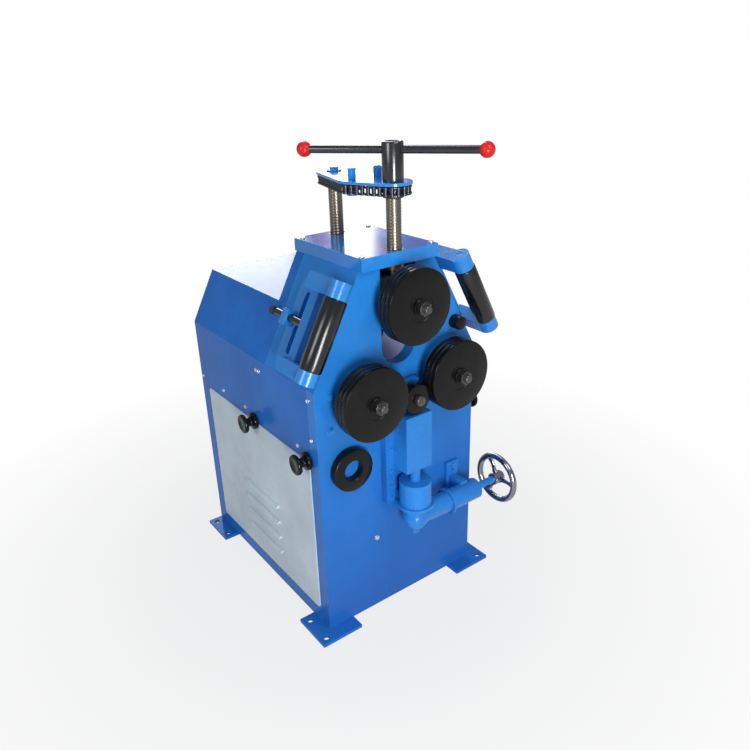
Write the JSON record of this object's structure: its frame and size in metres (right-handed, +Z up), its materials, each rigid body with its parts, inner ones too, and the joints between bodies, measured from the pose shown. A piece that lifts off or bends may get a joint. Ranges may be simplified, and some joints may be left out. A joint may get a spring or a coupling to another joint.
{
  "type": "three-roll ring roller",
  "caption": "Floor-standing powered ring roller: three rolls on a slotted frame head, chain-linked twin feed screws, centre roller with handwheel, slanted guide rollers and a louvred cabinet.",
  "frame": {"origin": "on the floor at the centre of the anchor bolts, under the feet", "axes": "+Z up; rolls face -Y; +X to the right as one faces the rolls"},
  "size_m": [0.535, 0.7187, 1.0598],
  "materials": {
    "front_blue": "bright azure gloss enamel",
    "side_blue": "deeper blue gloss enamel",
    "door_grey": "light blue-grey enamel",
    "motor_grey": "grey enamel",
    "dark_steel": "dark hardened and oiled steel",
    "turned_steel": "turned steel, oiled",
    "bronze": "machined bronze",
    "black_steel": "gloss black",
    "red_ball": "gloss red",
    "chrome_wheel": "polished chrome",
    "zinc_screws": "bright zinc plate"
  },
  "bodies": {
    "frame": {"front_plate": "front_blue", "rear_frame_plate": "side_blue", "head_side_plates": "side_blue", "top_cover": "side_blue", "feed_nuts": "bronze", "side_panels": "side_blue", "rear_panel": "side_blue", "hood": "side_blue", "pan_and_shelf": "side_blue", "foot_plates": "side_blue", "side_doors": "door_grey", "lower_bearings": "turned_steel", "bearing_covers": "front_blue", "geared_motor": "motor_grey", "guide_rails": "side_blue", "slide_base": "front_blue", "gib_rails": "front_blue", "elevating_case": "front_blue", "spare_ring": "dark_steel", "stop_stud": "black_steel", "frame_bolts": "front_blue", "panel_screws": "zinc_screws"},
    "carriage": {"top_block_front": "turned_steel", "top_block_rear": "turned_steel", "top_bearings": "turned_steel", "tie_plate": "front_blue", "feed_chain": "dark_steel", "plate_bolts": "front_blue"},
    "top_spindle": {"top_shaft": "turned_steel", "top_roll": "dark_steel"},
    "front_screw": {"feed_screw_front": "turned_steel", "sprocket_front": "turned_steel", "lever_hub": "black_steel", "lever_bar": "black_steel", "lever_balls": "red_ball"},
    "rear_screw": {"feed_screw_rear": "turned_steel", "sprocket_rear": "turned_steel"},
    "idler": {"chain_idler": "turned_steel"},
    "lower_left_spindle": {"lower_shaft_left": "turned_steel", "lower_roll_left": "dark_steel", "lower_gear_left": "turned_steel"},
    "lower_right_spindle": {"lower_shaft_right": "turned_steel", "lower_roll_right": "dark_steel", "lower_gear_right": "turned_steel"},
    "pinion": {"drive_pinion": "turned_steel"},
    "centre_carriage": {"centre_slide": "dark_steel"},
    "centre_wheel": {"centre_roller": "dark_steel"},
    "lift": {"lift_screw": "turned_steel"},
    "wheel": {"wheel_shaft": "turned_steel", "handwheel": "chrome_wheel"},
    "left_guide": {"guide_bracket_left": "side_blue"},
    "right_guide": {"guide_bracket_right": "side_blue"},
    "left_guide_wheel": {"guide_roller_left": "dark_steel"},
    "right_guide_wheel": {"guide_roller_right": "dark_steel"},
    "left_lock": {"lock_screw_left": "black_steel"},
    "right_lock": {"lock_screw_right": "black_steel"},
    "knob_left_front": {"door_knob_left_front": "black_steel"},
    "knob_left_rear": {"door_knob_left_rear": "black_steel"},
    "knob_right_front": {"door_knob_right_front": "black_steel"},
    "knob_right_rear": {"door_knob_right_rear": "black_steel"}
  },
  "joints": [
    {"name": "carriage_slide", "type": "slide", "parent": "frame", "child": "carriage", "axis": [0, 0, 1], "range_m": [-0.062, 0.011]},
    {"name": "front_screw_turn", "type": "hinge", "parent": "carriage", "child": "front_screw", "pos_m": [0, -0.2595, 0.9], "axis": [0, 0, 1], "range_deg": [-3725, 665]},
    {"name": "rear_screw_turn", "type": "hinge", "parent": "carriage", "child": "rear_screw", "pos_m": [0, -0.0563, 0.9], "axis": [0, 0, 1], "range_deg": [-3725, 665]},
    {"name": "idler_turn", "type": "hinge", "parent": "carriage", "child": "idler", "pos_m": [-0.04349, -0.1845, 0.97], "axis": [0, 0, 1], "range_deg": [-5590, 995]},
    {"name": "top_roll_turn", "type": "hinge", "parent": "carriage", "child": "top_spindle", "pos_m": [0, -0.25, 0.753], "axis": [0, 1, 0], "continuous": true},
    {"name": "lower_left_turn", "type": "hinge", "parent": "frame", "child": "lower_left_spindle", "pos_m": [-0.112, -0.15, 0.574], "axis": [0, 1, 0], "continuous": true},
    {"name": "lower_right_turn", "type": "hinge", "parent": "frame", "child": "lower_right_spindle", "pos_m": [0.112, -0.15, 0.574], "axis": [0, 1, 0], "continuous": true},
    {"name": "centre_slide_lift", "type": "slide", "parent": "frame", "child": "centre_carriage", "axis": [0, 0, 1], "range_m": [-0.03, 0.01]},
    {"name": "centre_roller_turn", "type": "hinge", "parent": "centre_carriage", "child": "centre_wheel", "pos_m": [0, -0.3185, 0.549], "axis": [0, 1, 0], "continuous": true},
    {"name": "lift_screw_turn", "type": "hinge", "parent": "frame", "child": "lift", "pos_m": [0, -0.3195, 0.35], "axis": [0, 0, 1], "range_deg": [-905, 2705]},
    {"name": "handwheel_turn", "type": "hinge", "parent": "frame", "child": "wheel", "pos_m": [0.15, -0.3195, 0.252], "axis": [1, 0, 0], "range_deg": [-2705, 905]},
    {"name": "pinion_turn", "type": "hinge", "parent": "frame", "child": "pinion", "pos_m": [0, 0, 0.56341], "axis": [0, 1, 0], "continuous": true},
    {"name": "left_guide_slide", "type": "slide", "parent": "frame", "child": "left_guide", "axis": [0, 1, 0], "range_m": [-0.025, 0.018]},
    {"name": "left_guide_roller_turn", "type": "hinge", "parent": "left_guide", "child": "left_guide_wheel", "pos_m": [-0.1961, -0.2895, 0.72926], "axis": [0.4695, 0, 0.8829], "continuous": true},
    {"name": "left_lock_turn", "type": "hinge", "parent": "frame", "child": "left_lock", "pos_m": [-0.1679, -0.0535, 0.712], "axis": [-0.8829, 0, 0.4695], "range_deg": [-360, 360]},
    {"name": "right_guide_slide", "type": "slide", "parent": "frame", "child": "right_guide", "axis": [0, 1, 0], "range_m": [-0.025, 0.018]},
    {"name": "right_guide_roller_turn", "type": "hinge", "parent": "right_guide", "child": "right_guide_wheel", "pos_m": [0.1961, -0.2895, 0.72926], "axis": [-0.4695, 0, 0.8829], "continuous": true},
    {"name": "right_lock_turn", "type": "hinge", "parent": "frame", "child": "right_lock", "pos_m": [0.1679, -0.0535, 0.712], "axis": [0.8829, 0, 0.4695], "range_deg": [-360, 360]},
    {"name": "knob_left_front_turn", "type": "hinge", "parent": "frame", "child": "knob_left_front", "pos_m": [-0.217, -0.2325, 0.44], "axis": [-1, 0, 0], "range_deg": [-720, 720]},
    {"name": "knob_left_rear_turn", "type": "hinge", "parent": "frame", "child": "knob_left_rear", "pos_m": [-0.217, 0.0025, 0.44], "axis": [-1, 0, 0], "range_deg": [-720, 720]},
    {"name": "knob_right_front_turn", "type": "hinge", "parent": "frame", "child": "knob_right_front", "pos_m": [0.217, -0.2325, 0.44], "axis": [1, 0, 0], "range_deg": [-720, 720]},
    {"name": "knob_right_rear_turn", "type": "hinge", "parent": "frame", "child": "knob_right_rear", "pos_m": [0.217, 0.0025, 0.44], "axis": [1, 0, 0], "range_deg": [-720, 720]}
  ],
  "couplings": [
    {"joint": "front_screw_turn", "follows": "carriage_slide", "rad_per_m": 1047.2},
    {"joint": "rear_screw_turn", "follows": "carriage_slide", "rad_per_m": 1047.2},
    {"joint": "idler_turn", "follows": "carriage_slide", "rad_per_m": 1570.8},
    {"joint": "lower_right_turn", "follows": "lower_left_turn", "ratio": 1},
    {"joint": "pinion_turn", "follows": "lower_left_turn", "ratio": -2},
    {"joint": "lift_screw_turn", "follows": "centre_slide_lift", "rad_per_m": -1570.8},
    {"joint": "handwheel_turn", "follows": "centre_slide_lift", "rad_per_m": 1570.8}
  ]
}
